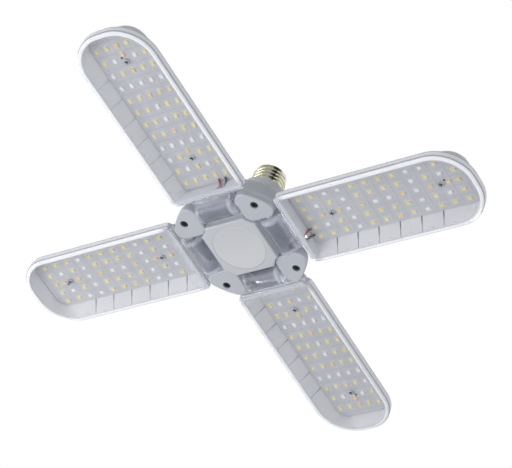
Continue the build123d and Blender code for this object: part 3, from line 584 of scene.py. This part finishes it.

# Pads and solder: a tinned pad under each light, with a painted warm halo of light from the coloured
# resin above it, and a fillet of solder at each end, where the light's two contacts meet the board.
def low_block(name, size, low, height, taper, material):
    """A small low block, drawn in towards its lower face."""
    select_none()
    bpy.ops.mesh.primitive_cube_add(size=1, location=(0, 0, low - height / 2))
    block = bpy.context.object
    block.name = name
    block.scale = (*size, height)
    bpy.ops.object.transform_apply(location=True, rotation=True, scale=True)
    bpy.ops.object.mode_set(mode="EDIT")
    bpy.ops.mesh.select_all(action="DESELECT")
    bpy.ops.object.mode_set(mode="OBJECT")
    for face in block.data.polygons:
        face.select = face.normal.z < -0.5
    bpy.ops.object.mode_set(mode="EDIT")
    bpy.ops.transform.resize(value=(*taper, 1), center_override=(0, 0, low - height))
    bpy.ops.mesh.select_all(action="SELECT")
    bpy.ops.mesh.bevel(offset=height * 0.3, segments=1, affect="EDGES")
    bpy.ops.object.mode_set(mode="OBJECT")
    block.data.materials.append(material)
    return block


# Pads round the warm and red lights are tinted with a painted halo of their light; those round the white
# lights are plain tinned grey.
pad_and_halo_tones = {
    "w": ((0.0046, 0.0040), (0.80, 0.77, 0.60), (0.86, 0.83, 0.68)),
    "c": ((0.0040, 0.0032), (0.60, 0.60, 0.61), (0.70, 0.70, 0.71)),
    "r": ((0.0046, 0.0038), (0.74, 0.66, 0.52), (0.80, 0.72, 0.58)),
}
for kind, (pad_size, *tones) in pad_and_halo_tones.items():
    tinned_with_halo = simple_finish("tinned pad " + kind, *tones, 0.4, 700.0)
    pad = low_block("pad", pad_size, board_face_z, 0.00006, (0.9, 0.9), tinned_with_halo)
    for letter in letters:
        piece = copies(pad, light_places(kind), f"pads_{phosphors[kind][0]}_{letter}", blade_angles[letter])
        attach(piece, f"blade_{letter}")
    bpy.data.objects.remove(pad)

solder_metal = simple_finish("solder", (0.80, 0.80, 0.82), (0.90, 0.90, 0.91), 0.42, 1500.0, 0.6)
fillet = low_block("fillet", (0.0006, 0.0022), board_face_z, 0.0003, (0.35, 0.86), solder_metal)
light_half = 0.00175
for letter in letters:
    places = []
    for kind in phosphors:
        for spot in light_places(kind):
            places += [spot + Vector((side * (light_half + 0.0003), 0, 0)) for side in (-1, 1)]
    piece = copies(fillet, places, f"solder_{letter}", blade_angles[letter])
    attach(piece, f"blade_{letter}")
bpy.data.objects.remove(fillet)

# Chip: one small black surface-mounted part beside the outer screw of each board, soldered down
# like the lights.
chip_place = Vector((0.1667, -0.0023, 0))
chip_resin = simple_finish("black chip resin", (0.012, 0.012, 0.014), (0.03, 0.03, 0.032), 0.5, 2000.0)
chip = low_block("chip", (0.0015, 0.0013), board_face_z, 0.0006, (0.9, 0.9), chip_resin)
for letter in letters:
    piece = copies(chip, [chip_place], f"board_chip_{letter}", blade_angles[letter])
    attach(piece, f"blade_{letter}")
bpy.data.objects.remove(chip)

# Board screws: small zinc-plated steel screws with a cross recess, two to each board, which hold
# it down on the tray's bosses.
inner_screw = first_row + 2 * row_step - 0.0029
outer_screw = first_row + 10 * row_step - 0.0029


def zinc_steel(letter):
    """Zinc-plated steel of one blade's screws, with painted shade in the cross recess."""
    material, shader, place = new_material("zinc steel " + letter, {"Metallic": 0.85})
    out, across = along_blade(place, blade_angles[letter])[:2]
    beside = (out - inner_screw).size().maths("MINIMUM", (out - outer_screw).size())
    sideways = across.size()
    # Painted shade: the cross recess is painted near black.
    arm = beside.maths("MINIMUM", sideways).ramp(0.00055, 0.0003)
    cross = arm * beside.maths("MAXIMUM", sideways).ramp(0.0017, 0.0014)
    scuff = place.noise(1600.0, 4.0).ramp(0.35, 0.65)
    zinc = scuff.blend((0.50, 0.52, 0.51), (0.66, 0.67, 0.66))
    feed(
        shader,
        base_color=cross.blend(zinc, (0.01, 0.012, 0.012)),
        roughness=scuff.ramp(0, 1, 0.26, 0.4),
        normal=bump(scuff, 0.00002),
    )
    return material


for letter in letters:
    paint([f"blade_{letter}_board_screws"], zinc_steel(letter))

# Clear covers: moulded clear acrylic, polished on the face and lightly frosted round the hinge,
# snapped over the rim of each tray. A weak emission stands in for light carried to the rim, set blade
# by blade after the photograph.
glow_share = {"a": 0.8, "b": 1.0, "c": 0.4, "d": 0.9}
cover_start = 0.044485
cover_tip = 0.1945
cover_half = 0.0315
cover_tip_radius = 0.028
cover_bevel_z = -0.0574
cover_back_z = -0.0529
carried_light = 0.15


def clear_acrylic(letter):
    """Clear acrylic of one cover, with its frosted hinge end and a rim of painted light and shade."""
    constants = {"IOR": 1.46, "Base Color": (0.97, 0.975, 0.99, 1), "Transmission Weight": 1.0}
    material, shader, place = new_material("clear acrylic " + letter, constants)
    tree = material.node_tree
    out, across, height = along_blade(place, blade_angles[letter])
    frost = out.ramp(0.056, 0.049)
    barrel = out < cover_start - 0.0004
    pane = 1 - barrel
    ripple = place.noise(45.0, 2.0)
    feed(
        shader,
        roughness=0.015 + frost * 0.10 + barrel * 0.05,
        normal=bump(ripple, 0.00006, 0.4),
    )
    past_tip = (out - (cover_tip - cover_tip_radius)).maths("MAXIMUM", 0.0)
    past_side = (across.size() - (cover_half - cover_tip_radius)).maths("MAXIMUM", 0.0)
    reach = (past_tip * past_tip + past_side * past_side).maths("SQRT")
    from_hub = out - cover_start
    inward = (cover_tip_radius - reach).maths("MINIMUM", from_hub)
    # Painted light and shade on the rim: dark lines standing for refraction at the wall's edges, a dark
    # outline at the outer edge, a painted white highlight band inside the rim and painted shade in the
    # hinge barrel's core.
    wall = inward.ramp(0.0011, 0.0004) * pane
    back_line = (height - cover_back_z).size().ramp(0.0009, 0.0002)
    front_line = (height - cover_bevel_z).size().ramp(0.0007, 0.0001)
    edge_line_shade = back_line.maths("MAXIMUM", front_line) * wall
    outline_shade = inward.ramp(0.0008, 0.0003) * (height < cover_bevel_z + 0.0002) * pane
    glow = (height < cover_bevel_z - 0.0002) * inward.ramp(0.0042, 0.0026) * pane
    glow = glow * from_hub.ramp(0.002, 0.012, 0.15, 1.0)
    core_shade = barrel * across.size().ramp(0.0142, 0.0115) * out.ramp(0.0415, 0.0395)

    # The side wall is painted grey-violet, as the shaded tray lip seen through it; the surface mixed in
    # carries both the hinge end's frost and these painted marks.
    rim_light_and_shade = edge_line_shade.blend((0.98, 0.98, 0.99), (0.46, 0.46, 0.53))
    rim_light_and_shade = wall.blend((0.74, 0.76, 0.85), rim_light_and_shade)
    rim_light_and_shade = glow.blend(rim_light_and_shade, (0.97, 0.97, 0.99))
    rim_light_and_shade = outline_shade.blend(rim_light_and_shade, (0.42, 0.42, 0.49))
    rim_light_and_shade = core_shade.blend(rim_light_and_shade, (0.24, 0.25, 0.31))
    carried = (glow * glow_share[letter]).maths("MAXIMUM", wall * 0.5) * (1 - edge_line_shade)
    frost_and_painted_rim = tree.nodes.new("ShaderNodeBsdfPrincipled")
    frost_and_painted_rim.inputs["Roughness"].default_value = 0.6
    frost_and_painted_rim.inputs["Specular IOR Level"].default_value = 0.15
    frost_and_painted_rim.inputs["Emission Strength"].default_value = carried_light
    feed(frost_and_painted_rim, base_color=rim_light_and_shade, emission_color=carried.blend((0, 0, 0), (1.0, 1.0, 1.0)))

    streak = place.noise(70.0, 3.0).ramp(0.35, 0.65)
    haze_and_painted_rim = frost * streak.ramp(0, 1, 0.08, 0.22) + barrel * streak.ramp(0, 1, 0.10, 0.22)
    haze_and_painted_rim = haze_and_painted_rim.maths("MAXIMUM", wall * 0.80 + edge_line_shade * 0.1)
    haze_and_painted_rim = haze_and_painted_rim.maths("MAXIMUM", glow * 0.8).maths("MAXIMUM", core_shade * 0.36)
    surface = layered(haze_and_painted_rim, Signal(tree, shader.outputs[0]), Signal(tree, frost_and_painted_rim.outputs[0]))
    lamp_rays = tree.nodes.new("ShaderNodeLightPath").outputs
    shadow_ray = Signal(tree, lamp_rays["Is Shadow Ray"])
    passing = shadow_ray.maths("MAXIMUM", Signal(tree, lamp_rays["Is Diffuse Ray"]))
    open_air = place.node("BsdfTransparent", {}, {"Color": (0.98, 0.98, 0.985, 1)})
    use_surface(material, layered(passing, surface, open_air))
    return material


for letter in letters:
    paint([f"blade_{letter}_cover"], clear_acrylic(letter))
